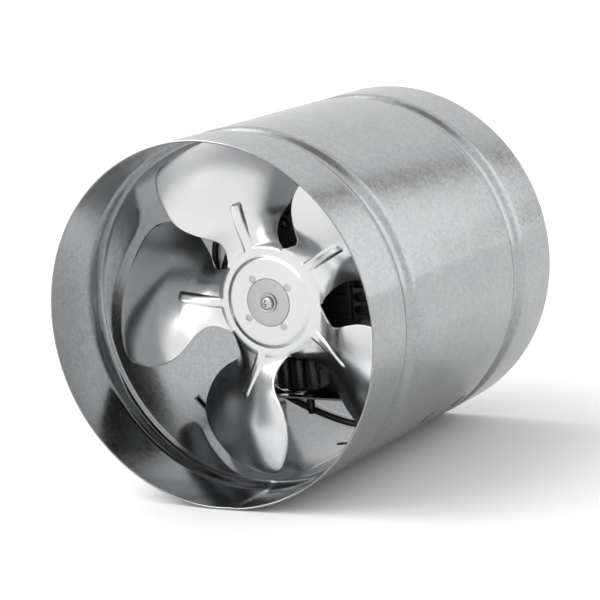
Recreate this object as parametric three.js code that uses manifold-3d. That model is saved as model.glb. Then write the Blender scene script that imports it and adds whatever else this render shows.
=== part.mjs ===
// Inline duct fan: a galvanised tube with a stamped five-blade impeller and a shaded-pole motor
// on a bracket inside. Millimetres. The fan's axis is Y (air enters at -Y), +Z is up, and the
// origin is the middle of the casing.
import * as THREE from 'three';
import { mergeVertices } from 'three/addons/utils/BufferGeometryUtils.js';
import Module from 'manifold-3d';

const wasm = await Module();
wasm.setup();

// ---- driving dimensions -------------------------------------------------------------------
const GAP = 0.3;                    // clearance between touching pieces
const CASING_R = 105;
const CASING_LENGTH = 234;
const WALL = 1;
const CASING_SIDES = 56;
const GROOVE_Y = 71;                // each rolled groove, either side of the middle
const GROOVE_HALF = 9.5;
const GROOVE_DEPTH = 3.2;
const PAD_ANGLE = 50;               // below horizontal, both sides
const PAD_Y = [9.5, 50.5];
const PAD_R = 6.5;
const PAD_DEPTH = 0.8;
const FLOOR_HOLE_R = 3.5;
const FLOOR_HOLE_Y = 26;

const HUB_Y = -47;                  // front plane of the impeller's hub
const SHEET = 1.2;
const BLADES = 5;
const TIP_R = 100;
const ROOT_R = 33.5;
const FIRST_BLADE = 111;            // rest angle of one blade's rib, degrees up from +X
const BOSS_R = 14;
const RIVET_CIRCLE = 16.5;
const RIVET_ANGLE = 34.3;
const RIVET_HOLE_R = 1.7;
const SHAFT_R = 4;

const MOTOR_R = 48.5;
const MOTOR_FRONT = -24;
const STACK = [-4, 28];
const MOTOR_REAR = 48;
const STACK_R = 46;
const SCREW_CIRCLE = 42;
const SCREW_ANGLES = [90, 210, 330];
const SCREW_R = 2;

const PLATE_Z = -65;                // top of the bracket's plate
const PLATE_HALF = 32;
const BRACKET_Y = [-12, 60];
const BRACKET_SHEET = 1.5;
const BASE_SCREW_X = [-13, 13];
const BASE_SCREW_Y = 20;
const PLATE_HOLE_R = 2.3;
const LEAD_R = 2;

// ---- finishes -----------------------------------------------------------------------------
const finish = (color, roughness, metalness) =>
  new THREE.MeshStandardMaterial({ color, roughness, metalness });
const galvanised = finish(0xb4b8ba, 0.38, 0.9);
const aluminium = finish(0xd9dbdc, 0.3, 0.95);
const zinc = finish(0xc4c5c4, 0.4, 0.9);
const steel = finish(0x9a9da0, 0.35, 0.95);
const lamination = finish(0x4c4e52, 0.6, 0.8);
const blackCast = finish(0x17181a, 0.55, 0.1);
const blackenedSteel = finish(0x2a2b2d, 0.4, 0.9);
const blackNylon = finish(0x121314, 0.5, 0);
const coilTape = finish(0x1b1a19, 0.45, 0);
const bronze = finish(0x9c7a45, 0.5, 0.9);
const paleNylon = finish(0xd8d6cd, 0.5, 0);

// ---- making and cutting solids ------------------------------------------------------------
const degrees = THREE.MathUtils.degToRad;
const polar = (r, angle) => [r * Math.cos(degrees(angle)), r * Math.sin(degrees(angle))];

function solid(geometry) {
  const plain = geometry.clone();
  plain.deleteAttribute('normal');
  plain.deleteAttribute('uv');
  const merged = mergeVertices(plain, 1e-4);
  return new wasm.Manifold(new wasm.Mesh({
    numProp: 3,
    vertProperties: new Float32Array(merged.attributes.position.array),
    triVerts: new Uint32Array(merged.index.array),
  }));
}

function geometryOf(manifold) {
  const mesh = manifold.getMesh();
  const geometry = new THREE.BufferGeometry();
  geometry.setAttribute('position', new THREE.BufferAttribute(mesh.vertProperties, 3));
  geometry.setIndex(new THREE.BufferAttribute(mesh.triVerts, 1));
  return geometry;
}

function cut(base, ...tools) {
  return geometryOf(tools.reduce((body, tool) => body.subtract(solid(tool)), solid(base)));
}

function join(...pieces) {
  return geometryOf(pieces.map(solid).reduce((body, piece) => body.add(piece)));
}

// A round bar along Y from y0 to y1.
function rod(r, y0, y1, x = 0, z = 0, sides = 20) {
  return new THREE.CylinderGeometry(r, r, y1 - y0, sides).translate(x, (y0 + y1) / 2, z);
}

function block(x0, x1, y0, y1, z0, z1) {
  return new THREE.BoxGeometry(x1 - x0, y1 - y0, z1 - z0)
    .translate((x0 + x1) / 2, (y0 + y1) / 2, (z0 + z1) / 2);
}

// A turned piece: its closed outline is given as [radius, y] pairs.
function turned(outline, sides = 32) {
  const points = [...outline, outline[0]].map(([r, y]) => new THREE.Vector2(r, y));
  return new THREE.LatheGeometry(points, sides);
}

// An outline in the X-Z plane, made solid from y0 to y1.
function alongY(shape, y0, y1) {
  const options = { depth: y1 - y0, bevelEnabled: false, curveSegments: 10 };
  return new THREE.ExtrudeGeometry(shape, options).rotateX(Math.PI / 2).translate(0, y1, 0);
}

function roundedRectangle(path, halfX, halfY, r) {
  path.moveTo(halfX, r - halfY);
  path.lineTo(halfX, halfY - r);
  path.absarc(halfX - r, halfY - r, r, 0, Math.PI / 2);
  path.absarc(r - halfX, halfY - r, r, Math.PI / 2, Math.PI);
  path.absarc(r - halfX, r - halfY, r, Math.PI, 1.5 * Math.PI);
  path.absarc(halfX - r, r - halfY, r, 1.5 * Math.PI, 2 * Math.PI);
  return path;
}

const fan = new THREE.Group();

function part(name, geometry, material, parent = fan) {
  const mesh = new THREE.Mesh(geometry, material);
  mesh.name = name;
  parent.add(mesh);
  return mesh;
}

// ---- casing: rolled tube with two inward grooves, welding pads and a floor hole --------------
function grooveDepth(y) {
  const u = Math.min(1, Math.abs(Math.abs(y) - GROOVE_Y) / GROOVE_HALF);
  return GROOVE_DEPTH * (1 + Math.cos(Math.PI * u)) / 2;
}

function casingTube() {
  const end = CASING_LENGTH / 2;
  const steps = 4;
  const stations = [-end];
  for (const centre of [-GROOVE_Y, GROOVE_Y]) {
    for (let i = 0; i <= steps; i++) {
      stations.push(centre + GROOVE_HALF * (2 * i / steps - 1));
    }
  }
  stations.push(end);
  const outer = stations.map((y) => [CASING_R - grooveDepth(y), y]);
  const inner = stations.map((y) => [CASING_R - WALL - grooveDepth(y), y]).reverse();
  let body = solid(turned([...outer, ...inner], CASING_SIDES));
  const skin = (rIn, rOut) => {
    const middle = (PAD_Y[0] + PAD_Y[1]) / 2;
    const reach = (PAD_Y[1] - PAD_Y[0]) / 2 + 2 * PAD_R;
    const low = middle - reach;
    const high = middle + reach;
    return solid(turned([[rIn, low], [rOut, low], [rOut, high], [rIn, high]], CASING_SIDES));
  };
  const recess = skin(CASING_R - PAD_DEPTH, CASING_R + 2);
  const lump = skin(CASING_R - PAD_DEPTH - WALL, CASING_R - WALL / 2);
  const radialPin = (r, angle, y) => {
    const turn = degrees(angle) - Math.PI / 2;
    return new THREE.CylinderGeometry(r, r, 30, 24)
      .translate(0, CASING_R, 0).rotateX(Math.PI / 2).rotateY(-turn).translate(0, y, 0);
  };
  for (const angle of [-PAD_ANGLE, PAD_ANGLE - 180]) {
    for (const y of PAD_Y) {
      body = body.add(lump.intersect(solid(radialPin(PAD_R + 0.8, angle, y))));
      body = body.subtract(recess.intersect(solid(radialPin(PAD_R, angle, y))));
    }
  }
  return geometryOf(body.subtract(solid(radialPin(FLOOR_HOLE_R, -90, FLOOR_HOLE_Y))));
}

// ---- impeller: one pressed sheet, flat hub, five sickle blades with a pressed rib each --------
// Blade edges as [radius, degrees from the rib line]; between neighbours they leave a keyhole.
const LEADING = [[33.5, 33], [36, 25.5], [40, 19.2], [45, 17.5], [50, 19.5], [57, 23.8],
  [65, 25.7], [74, 25.9], [84, 23.8], [92, 21.2], [97.5, 18.6], [99.4, 16.6], [100, 14]];
const TRAILING = [[33.5, -39], [36, -32], [40, -26.6], [45, -24.8], [50, -25.8], [57, -28.3],
  [65, -30.8], [74, -32], [84, -31.4], [92, -29.5], [97.5, -26.8], [99.4, -24.6], [100, -22]];
const RIB_END = 61;

function edgeAngle(edge, r) {
  const next = edge.findIndex(([radius]) => radius > r);
  const i = next < 0 ? edge.length - 1 : Math.max(1, next);
  const [r0, a0] = edge[i - 1];
  const [r1, a1] = edge[i];
  return a0 + (a1 - a0) * (r - r0) / (r1 - r0);
}

const smooth = (x, low, high) => THREE.MathUtils.smoothstep(x, low, high);
const ribAngle = (r) => -4.6 * THREE.MathUtils.clamp((r - 30) / 30, 0, 1.2);

// How far behind the hub plane the sheet lies at radius r and angle a from the rib line. Each
// blade is pitched, leans forward to its tip, and bulges forward along its rib line.
const PITCH = 0.438;
const CAMBER = 0.00315;
const TIP_LEAN = 4.7;
const HUB_STEP = 1.2;
const PAD_STEP = 0.9;
const BULGE = 3.9;
const RIB_RISE = 0.1;

function ribWidth(r) {
  return 3.3 - 0.5 * smooth(r, ROOT_R, RIB_END);
}

// 1 on the rib line, falling to 0 at both edges of the blade.
function nearMiddle(r, a) {
  const radius = Math.max(r, ROOT_R);
  const rib = ribAngle(r);
  const toTrailing = (a - rib) / (edgeAngle(TRAILING, radius) - rib);
  const toLeading = (a - rib) / (edgeAngle(LEADING, radius) - rib);
  return Math.max(0, (1 - toTrailing) * (1 - toLeading));
}

function sheetDepth(r, a) {
  const arc = -r * degrees(a);
  const twist = PITCH * smooth(r, 30, 55) * (TIP_R / Math.max(r, 30)) ** 0.6;
  const camber = CAMBER * THREE.MathUtils.clamp((r - 30) / 25, 0, 1);
  const lean = -TIP_LEAN * THREE.MathUtils.clamp((r - ROOT_R) / (TIP_R - ROOT_R), 0, 1);
  const across = Math.abs(r * degrees(a - ribAngle(r)));
  const width = ribWidth(r);
  const onRib = (1 - smooth(across, 0.45 * width, width)) * (1 - smooth(r, RIB_END - 3, RIB_END));
  const middle = nearMiddle(r, a);
  const bulge = BULGE * smooth(r, 36, 58) * (1 - 0.75 * smooth(r, 72, TIP_R)) * middle;
  const step = HUB_STEP * smooth(r, 25, 27.5) + PAD_STEP * smooth(r, 31, 33.5) * (1 - onRib)
    + PAD_STEP * smooth(r, 31, 42) * (1 - middle);
  const rib = RIB_RISE * onRib * smooth(r, 36, 45);
  return step + lean + twist * arc + camber * arc * arc - bulge - rib;
}

function impeller() {
  const hubRings = [BOSS_R + GAP, 22, 25, 27.5, 31];
  const bladeRings = [36.5, 40, 45, 51, 58, 62, 70, 80, 90, 96, 99, 100];
  const columns = 11;
  const front = [];
  const normals = [];
  const point = (r, a, blade) => {
    const at = (radius, angle) => {
      const [x, z] = polar(radius, FIRST_BLADE + 360 / BLADES * blade + angle);
      return new THREE.Vector3(x, HUB_Y + sheetDepth(radius, angle), z);
    };
    const here = at(r, a);
    const outward = at(r + 0.2, a).sub(here);
    const round = at(r, a + 0.2).sub(here);
    front.push(here);
    normals.push(round.cross(outward).normalize());
    return front.length - 1;
  };
  // angles across one blade: finer next to the rib
  const spread = (r) => {
    const low = edgeAngle(TRAILING, Math.max(r, ROOT_R));
    const high = edgeAngle(LEADING, Math.max(r, ROOT_R));
    const rib = ribAngle(r);
    const half = THREE.MathUtils.radToDeg(ribWidth(r) / r);
    const list = [];
    for (let i = 0; i < 3; i++) list.push(low + (rib - half - low) * i / 3);
    for (const u of [-1, -0.45, 0, 0.45, 1]) list.push(rib + half * u);
    for (let i = 1; i <= 3; i++) list.push(rib + half + (high - rib - half) * i / 3);
    return list;
  };
  const triangles = [];
  const quad = (a, b, c, d) => triangles.push([a, c, b], [a, d, c]);
  const rootRows = [];
  for (const r of [...hubRings, ROOT_R]) {
    const ring = [];
    for (let blade = 0; blade < BLADES; blade++) {
      for (const a of spread(r).slice(0, columns - 1)) ring.push(point(r, a, blade));
    }
    if (rootRows.length) {
      const inner = rootRows[rootRows.length - 1];
      const count = ring.length;
      for (let i = 0; i < count; i++) {
        const next = (i + 1) % count;
        quad(inner[i], inner[next], ring[next], ring[i]);
      }
    }
    rootRows.push(ring);
  }
  const rootRing = rootRows[rootRows.length - 1];
  for (let blade = 0; blade < BLADES; blade++) {
    let row = [];
    for (let i = 0; i < columns; i++) {
      row.push(rootRing[(blade * (columns - 1) + i) % rootRing.length]);
    }
    for (const r of bladeRings) {
      const outer = spread(r).map((a) => point(r, a, blade));
      for (let i = 0; i < columns - 1; i++) quad(row[i], row[i + 1], outer[i + 1], outer[i]);
      row = outer;
    }
  }
  return thickened(front, normals, triangles, SHEET);
}

// Closes an open sheet: a second face one thickness behind it, and a strip round every open edge.
function thickened(points, normals, triangles, thickness) {
  const count = points.length;
  const back = points.map((p, i) => p.clone().addScaledVector(normals[i], thickness));
  const positions = [...points, ...back].flatMap((p) => [p.x, p.y, p.z]);
  const edges = new Map();
  const index = [];
  for (const [a, b, c] of triangles) {
    index.push(a, b, c, a + count, c + count, b + count);
    for (const [from, to] of [[a, b], [b, c], [c, a]]) {
      const twin = `${to}_${from}`;
      if (edges.has(twin)) edges.delete(twin);
      else edges.set(`${from}_${to}`, [from, to]);
    }
  }
  for (const [from, to] of edges.values()) {
    index.push(to, from, from + count, to, from + count, to + count);
  }
  const geometry = new THREE.BufferGeometry();
  geometry.setAttribute('position', new THREE.Float32BufferAttribute(positions, 3));
  geometry.setIndex(index);
  return geometry;
}

const rivetPlaces = [0, 1, 2, 3].map((i) => polar(RIVET_CIRCLE, RIVET_ANGLE + 90 * i));

const rivetHoles = rivetPlaces.map(([x, z]) => rod(RIVET_HOLE_R, HUB_Y - 5, HUB_Y + 8, x, z, 12));

part('casing', casingTube(), galvanised);
part('impeller', cut(impeller(), ...rivetHoles), aluminium);

// ---- hub: bush, rivets, washer and screw ------------------------------------------------------
const BUSH_FRONT = HUB_Y - 1.5;
const FLANGE = [HUB_Y + SHEET + GAP, HUB_Y + SHEET + GAP + 3];
const NECK_END = -30.5;
const bore = SHAFT_R + GAP;
part('hub_bush', cut(turned([
  [bore, BUSH_FRONT], [BOSS_R, BUSH_FRONT], [BOSS_R, FLANGE[0]], [21, FLANGE[0]],
  [21, FLANGE[1]], [9, FLANGE[1]], [9, NECK_END], [bore, NECK_END],
], 40), ...rivetHoles), zinc);

rivetPlaces.forEach(([x, z], i) => {
  const rivet = turned([
    [0, HUB_Y - GAP - 0.9], [1.5, HUB_Y - GAP - 0.8], [2.3, HUB_Y - GAP], [1.4, HUB_Y - GAP],
    [1.4, FLANGE[1] + GAP], [2.1, FLANGE[1] + GAP], [1.6, FLANGE[1] + GAP + 0.8],
    [0, FLANGE[1] + GAP + 1],
  ], 12);
  part(`hub_rivet_${i + 1}`, rivet, zinc).position.set(x, 0, z);
});

const WASHER_FRONT = BUSH_FRONT - GAP - 0.8;
part('hub_washer', turned([
  [2.3, WASHER_FRONT], [5.6, WASHER_FRONT], [5.6, BUSH_FRONT - GAP], [2.3, BUSH_FRONT - GAP],
], 24), steel);

const HEAD = [WASHER_FRONT - GAP - 2, WASHER_FRONT - GAP];
const screwBody = turned([
  [0, HEAD[0]], [2.6, HEAD[0] + 0.2], [4, HEAD[0] + 1.2], [4, HEAD[1]], [1.9, HEAD[1]],
  [1.9, -36], [0, -35],
], 24);
part('shaft_screw', cut(screwBody,
  block(-2.2, 2.2, HEAD[0] - 1, HEAD[0] + 1.3, -0.5, 0.5),
  block(-0.5, 0.5, HEAD[0] - 1, HEAD[0] + 1.3, -2.2, 2.2)), steel);

part('motor_shaft', turned([
  [2.2, -47.8], [SHAFT_R - 0.4, -47.8], [SHAFT_R, -47.4], [SHAFT_R, 50], [0, 50], [0, -33],
  [2.2, -34],
], 24), steel);

// ---- motor ------------------------------------------------------------------------------------
const ROTOR_R = 19;
part('rotor_core', turned([
  [bore, STACK[0] - 4], [16.5, STACK[0] - 4], [17, STACK[0]], [ROTOR_R, STACK[0]],
  [ROTOR_R, STACK[1]], [17, STACK[1]], [16.5, STACK[1] + 4], [bore, STACK[1] + 4],
], 32), lamination);

const YOKE_R = 36;
const POLE_HALF = 7;
const SHOE_R = [19.8, 22.5];
const SHOE_ANGLE = 34;

function statorStack() {
  const shape = new THREE.Shape().absarc(0, 0, STACK_R, 0, 2 * Math.PI);
  const window = new THREE.Path();
  const neckAngle = (r) => THREE.MathUtils.radToDeg(Math.asin(POLE_HALF / r));
  for (let pole = 0; pole < 4; pole++) {
    const centre = 90 * pole;
    const arc = (r, from, to) => {
      window.absarc(0, 0, r, degrees(centre + from), degrees(centre + to), to < from);
    };
    arc(SHOE_R[0], -SHOE_ANGLE, SHOE_ANGLE);
    arc(SHOE_R[1], SHOE_ANGLE, neckAngle(SHOE_R[1]));
    arc(YOKE_R, neckAngle(YOKE_R), 90 - neckAngle(YOKE_R));
    arc(SHOE_R[1], 90 - neckAngle(SHOE_R[1]), 90 - SHOE_ANGLE);
  }
  window.closePath();
  shape.holes.push(window);
  const options = { depth: STACK[1] - STACK[0], bevelEnabled: false, curveSegments: 9 };
  return new THREE.ExtrudeGeometry(shape, options).rotateX(Math.PI / 2).translate(0, STACK[1], 0);
}

const screwPlaces = SCREW_ANGLES.map((angle) => polar(SCREW_CIRCLE, angle));
const screwHoles = screwPlaces.map(([x, z]) => rod(SCREW_R + GAP, -60, 80, x, z, 12));
part('stator_stack', cut(statorStack(), ...screwHoles), lamination);

// Each coil is wound round the neck of one pole, and stands out of the stack front and back.
const stackHalf = (STACK[1] - STACK[0]) / 2;
const COIL_SIDE = 5.3;
const COIL_END = 6.3;
const COIL_DEPTH = 9.6;
for (let i = 0; i < 4; i++) {
  const ring = roundedRectangle(new THREE.Shape(), POLE_HALF + COIL_SIDE, stackHalf + COIL_END, 5);
  const neck = roundedRectangle(new THREE.Path(), POLE_HALF + GAP, stackHalf + GAP, 0.4);
  ring.holes.push(neck);
  const options = { depth: COIL_DEPTH, bevelEnabled: false, curveSegments: 4 };
  const wound = new THREE.ExtrudeGeometry(ring, options)
    .translate(0, STACK[0] + stackHalf, SHOE_R[1] + GAP + 0.6);
  part(`field_coil_${i + 1}`, wound.rotateY(degrees(90 * i)), coilTape);
}

// The front shield is a cast cup with a bearing boss, a ribbed lug on the right-hand side, a flat
// lug above its top screw and a cut-out under it for the base.
const BEARING_R = 7;
const BEARING_LENGTH = 11;
const FRONT_SEAT = [-26, -14];
const REAR_SEAT = [38, 52];
const SKIRT = 2;
const BASE_HALF = 14.7;
const BASE_TOP = -38.7;
const frontCup = turned([
  [bore, -29], [9, -29], [11, -24.6], [17, MOTOR_FRONT], [MOTOR_R - 1.5, MOTOR_FRONT],
  [MOTOR_R, MOTOR_FRONT + 1.5], [MOTOR_R, STACK[0] - GAP], [MOTOR_R - SKIRT, STACK[0] - GAP],
  [MOTOR_R - SKIRT, -19], [11, -19], [11, FRONT_SEAT[1]], [BEARING_R + GAP, FRONT_SEAT[1]],
  [BEARING_R + GAP, FRONT_SEAT[0]], [bore, FRONT_SEAT[0]],
], 40);
const lug = block(41, 58, MOTOR_FRONT + 1, -14, -14, 12);
const topLug = block(-6, 11, -18.5, -14.2, 46.9, 62);
const POCKET_PITCH = 8;
const pockets = [0, 1, 2].map((i) =>
  block(43.2, 56.4, -30, -20, 4.6 - POCKET_PITCH * i, 10.4 - POCKET_PITCH * i));
const upperRecess = block(27, 41.5, -30, MOTOR_FRONT + 0.8, 1, 11);
const lowerRecess = block(27, 41.5, -30, MOTOR_FRONT + 0.8, -11, -1);
const archHalf = BASE_HALF + GAP;
const arch = block(-archHalf, archHalf, -60, STACK[0], -60, BASE_TOP + GAP);
part('front_shield', cut(join(frontCup, lug, topLug),
  ...pockets, upperRecess, lowerRecess, ...screwHoles, arch), blackCast);

const rearCup = turned([
  [BEARING_R + GAP, REAR_SEAT[1]], [BEARING_R + GAP, REAR_SEAT[0]], [11, REAR_SEAT[0]],
  [11, 43], [MOTOR_R - SKIRT, 43],
  [MOTOR_R - SKIRT, STACK[1] + GAP], [MOTOR_R, STACK[1] + GAP], [MOTOR_R, MOTOR_REAR - 1.5],
  [MOTOR_R - 1.5, MOTOR_REAR], [17, MOTOR_REAR], [11, REAR_SEAT[1]],
], 40);
const vents = [];
for (let i = 0; i < 12; i++) {
  const slot = block(-2.5, 2.5, 35, 60, 20, 36);
  if (i % 4 !== 3) vents.push(slot.rotateY(degrees(30 * i)));
}
part('rear_shield', cut(rearCup, ...vents, ...screwHoles), blackCast);

const bearingStarts = { front_bearing: FRONT_SEAT[0] + GAP, rear_bearing: REAR_SEAT[0] + 1 };
for (const [name, y0] of Object.entries(bearingStarts)) {
  const y1 = y0 + BEARING_LENGTH;
  part(name, turned([
    [bore, y0], [BEARING_R - 1, y0], [BEARING_R, y0 + 1], [BEARING_R, y1 - 1],
    [BEARING_R - 1, y1], [bore, y1],
  ], 24), bronze);
}

screwPlaces.forEach(([x, z], i) => {
  const screw = turned([
    [0, MOTOR_FRONT - 3], [2.4, MOTOR_FRONT - 2.8], [3.5, MOTOR_FRONT - 1.8],
    [3.5, MOTOR_FRONT - GAP], [SCREW_R, MOTOR_FRONT - GAP], [SCREW_R, 52], [0, 52.4],
  ], 16);
  part(`shield_screw_${i + 1}`, screw, blackenedSteel).position.set(x, 0, z);
  const nut = new THREE.CylinderGeometry(4, 4, 2.8, 6).translate(0, MOTOR_REAR + GAP + 1.4, 0);
  const drilled = cut(nut, rod(SCREW_R + GAP, 40, 60, 0, 0, 12));
  part(`shield_nut_${i + 1}`, drilled, steel).position.set(x, 0, z);
});

// The base carries the motor on the plate: a lobed housing in front and a pedestal behind it.
const plateHole = (x, y, depth) =>
  new THREE.CylinderGeometry(PLATE_HOLE_R, PLATE_HOLE_R, depth, 12)
    .rotateX(Math.PI / 2).translate(x, y, PLATE_Z);
const LOBE_Y = -19;
const HOUSING_REAR = -4.9;
const HOUSING_HEIGHT = 19.3;

function motorBase() {
  const lobes = new THREE.Shape();
  const pitch = 2 * BASE_HALF / 3;
  lobes.moveTo(BASE_HALF, -HOUSING_REAR);
  lobes.lineTo(BASE_HALF, -LOBE_Y);
  for (let i = 0; i < 3; i++) {
    lobes.absarc(BASE_HALF - pitch * (i + 0.5), -LOBE_Y, pitch / 2, 0, Math.PI);
  }
  lobes.lineTo(-BASE_HALF, -HOUSING_REAR);
  const options = { depth: HOUSING_HEIGHT, bevelEnabled: false, curveSegments: 6 };
  const housing = new THREE.ExtrudeGeometry(lobes, options)
    .rotateX(Math.PI).translate(0, 0, BASE_TOP);
  const saddle = rod(MOTOR_R + 2 * GAP, -80, 80, 0, 0, 48);
  const pedestal = cut(block(-20, 20, 0, 40, PLATE_Z + GAP, -44), saddle);
  const bridge = block(-BASE_HALF, BASE_HALF, -8, 2, -58, -50.4);
  const holes = BASE_SCREW_X.map((x) => plateHole(x, BASE_SCREW_Y, 20));
  return cut(join(housing, bridge, pedestal), ...holes);
}
part('motor_base', motorBase(), blackNylon);

// ---- bracket: one bent sheet, its feet welded to the casing's pads ----------------------------
// Widens a centre line [x, z] into a strip of the given thickness.
function strip(line, thickness) {
  const left = [];
  const right = [];
  line.forEach(([x, z], i) => {
    const before = line[Math.max(0, i - 1)];
    const after = line[Math.min(line.length - 1, i + 1)];
    const a = new THREE.Vector2(x - before[0], z - before[1]);
    const b = new THREE.Vector2(after[0] - x, after[1] - z);
    if (i === 0) a.copy(b);
    if (i === line.length - 1) b.copy(a);
    a.normalize();
    b.normalize();
    const bisector = new THREE.Vector2(-a.y - b.y, a.x + b.x).normalize();
    const reach = thickness / 2 / Math.max(0.3, bisector.dot(new THREE.Vector2(-a.y, a.x)));
    left.push(new THREE.Vector2(x, z).addScaledVector(bisector, reach));
    right.push(new THREE.Vector2(x, z).addScaledVector(bisector, -reach));
  });
  return new THREE.Shape([...left, ...right.reverse()]);
}

const FOOT_R = CASING_R - PAD_DEPTH - WALL - GAP - BRACKET_SHEET / 2;
const footLine = [-41, -45, -49, -53, -57].map((angle) => polar(FOOT_R, angle));
const plateEnd = [PLATE_HALF, PLATE_Z - BRACKET_SHEET / 2];
const halfLine = [...footLine, plateEnd];
const mirrored = halfLine.map(([x, z]) => [-x, z]).reverse();
const SLOT = [-31, -4];
const SLOT_Y = [-7, 0.5];
const CLIP = [0.5, -9];
const bentStrip = alongY(strip([...halfLine, ...mirrored], BRACKET_SHEET), ...BRACKET_Y);
part('motor_bracket', cut(bentStrip,
  block(...SLOT, ...SLOT_Y, PLATE_Z - 5, PLATE_Z + 5),
  plateHole(...CLIP, 10), ...BASE_SCREW_X.map((x) => plateHole(x, BASE_SCREW_Y, 10))), galvanised);

for (const [i, x] of BASE_SCREW_X.entries()) {
  const under = PLATE_Z - BRACKET_SHEET - GAP;
  const screw = turned([
    [0, -9.6], [2, -9], [2, 0], [3.5, 0], [3.5, 1.6], [2.5, 2.4], [0, 2.6],
  ], 16).rotateX(-Math.PI / 2);
  part(`base_screw_${i + 1}`, screw, steel).position.set(x, BASE_SCREW_Y, under);
}

// ---- lead, its clip and the terminal block ----------------------------------------------------
const leadRoute = [
  [-36, -12, 36], [-42, -13.5, 37.5], [-49, -16, 34], [-52.6, -17, 25], [-52.8, -16, 10],
  [-54, -8, -8], [-53, 3, -26], [-47, 5, -44], [-38, 1, -56], [-29, -3.5, -62.6],
  [-20, -3.5, -66.8], [-11, -3, -71.2], [-0.5, -3, -75.3], [12, -3, -79.3], [24, -2, -82.4],
  [31, 3, -83.4], [34, 10, -83.2],
];

function lead() {
  const curve = new THREE.CatmullRomCurve3(leadRoute.map((p) => new THREE.Vector3(...p)));
  const section = new THREE.Shape().absarc(0, 0, LEAD_R, 0, 2 * Math.PI);
  return new THREE.ExtrudeGeometry(section, { steps: 40, extrudePath: curve, curveSegments: 4 });
}
part('motor_lead', lead(), blackNylon);

// Push-in clip: a round head on the plate and two sprung prongs under it.
function leadClip() {
  const head = turned([[0, 0], [4, 0], [4, 1.2], [2.5, 2], [0, 2]], 16).translate(0, PLATE_Z + GAP, 0);
  const stem = turned([[0, PLATE_Z - 11], [1.5, PLATE_Z - 11], [2.7, PLATE_Z - 7],
    [2.5, PLATE_Z - 2.2], [2, PLATE_Z - 1.8], [2, PLATE_Z + 0.5], [0, PLATE_Z + 0.5]], 16);
  const split = block(-0.5, 0.5, PLATE_Z - 12, PLATE_Z - 2.5, -4, 4);
  return cut(join(head, stem), split).rotateX(Math.PI / 2);
}
part('lead_clip', leadClip(), blackNylon).position.set(CLIP[0], CLIP[1], 0);

// The block sits on the inner face of the right-hand leg; x runs down the leg, z into the hat.
const legTop = new THREE.Vector2(...plateEnd);
const legFoot = new THREE.Vector2(...footLine[footLine.length - 1]);
const legMiddle = legTop.clone().add(legFoot).multiplyScalar(0.5);
const legSlope = Math.atan2(legFoot.y - legTop.y, legFoot.x - legTop.x);
const onLeg = new THREE.Group();
onLeg.position.set(legMiddle.x, 0, legMiddle.y);
onLeg.rotation.y = -legSlope + Math.PI;
fan.add(onLeg);

const BLOCK_Y = [12, 42];
const blockBase = BRACKET_SHEET / 2 + GAP;
const blockBody = block(-8, 8, ...BLOCK_Y, blockBase, blockBase + 11);
const poleY = [17, 27, 37];
const poleX = -3.5;
const wells = poleY.map((y) =>
  new THREE.CylinderGeometry(2.6, 2.6, 8, 12).rotateX(Math.PI / 2).translate(poleX, y, blockBase + 11));
part('terminal_block', cut(blockBody, ...wells), paleNylon, onLeg);
poleY.forEach((y, i) => {
  const screw = new THREE.CylinderGeometry(2.2, 2.2, 3, 12);
  const slotted = cut(screw, block(-3, 3, 1, 3, -0.4, 0.4)).rotateX(Math.PI / 2);
  part(`terminal_screw_${i + 1}`, slotted, steel, onLeg).position.set(poleX, y, blockBase + 8.9);
});

export default fan;
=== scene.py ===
import math

import bmesh
import bpy
from mathutils import Matrix, Vector


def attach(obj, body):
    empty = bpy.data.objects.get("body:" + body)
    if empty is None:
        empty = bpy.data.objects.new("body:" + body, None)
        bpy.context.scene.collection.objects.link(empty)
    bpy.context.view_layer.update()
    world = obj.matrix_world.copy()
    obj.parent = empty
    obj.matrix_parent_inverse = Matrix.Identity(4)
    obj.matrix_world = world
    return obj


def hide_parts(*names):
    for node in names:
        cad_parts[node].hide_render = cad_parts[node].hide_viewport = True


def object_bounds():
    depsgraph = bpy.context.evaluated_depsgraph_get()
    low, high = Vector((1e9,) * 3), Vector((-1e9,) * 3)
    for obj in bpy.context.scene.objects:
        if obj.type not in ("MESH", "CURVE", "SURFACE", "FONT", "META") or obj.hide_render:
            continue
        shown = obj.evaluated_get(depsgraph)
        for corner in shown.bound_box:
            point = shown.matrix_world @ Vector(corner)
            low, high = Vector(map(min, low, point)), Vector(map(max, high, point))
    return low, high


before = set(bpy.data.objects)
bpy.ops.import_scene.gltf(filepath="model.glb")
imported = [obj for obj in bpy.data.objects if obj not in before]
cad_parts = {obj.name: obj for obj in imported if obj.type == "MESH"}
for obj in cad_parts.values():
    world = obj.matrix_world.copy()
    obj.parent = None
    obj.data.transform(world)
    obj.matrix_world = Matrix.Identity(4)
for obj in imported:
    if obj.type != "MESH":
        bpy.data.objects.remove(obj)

cad_box = [list(corner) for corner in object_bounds()]

# ---- The view -----------------------------------------------------------------------------------
# A long lens looks down into the inlet from the front right. The fan lies on a pale floor in an
# evenly lit white studio.
LOOK_AT = Vector((0.0026, -0.0160, -0.0050))
DISTANCE = 1.43442
AZIMUTH = 30.22
ELEVATION = 10.868
ROLL = -4.44
FLOOR_REACH = 30.0

lens = bpy.data.cameras.new("camera")
lens.lens = 145.79
lens.clip_end = 200.0
camera = bpy.data.objects.new("camera", lens)
turn = (
    Matrix.Rotation(math.radians(AZIMUTH), 4, "Z")
    @ Matrix.Rotation(math.radians(90 - ELEVATION), 4, "X")
    @ Matrix.Rotation(math.radians(ROLL), 4, "Z")
)
camera.matrix_world = Matrix.Translation(LOOK_AT) @ turn @ Matrix.Translation((0, 0, DISTANCE))
bpy.context.scene.collection.objects.link(camera)
bpy.context.scene.camera = camera
bpy.context.scene.view_settings.view_transform = "Standard"

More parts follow.
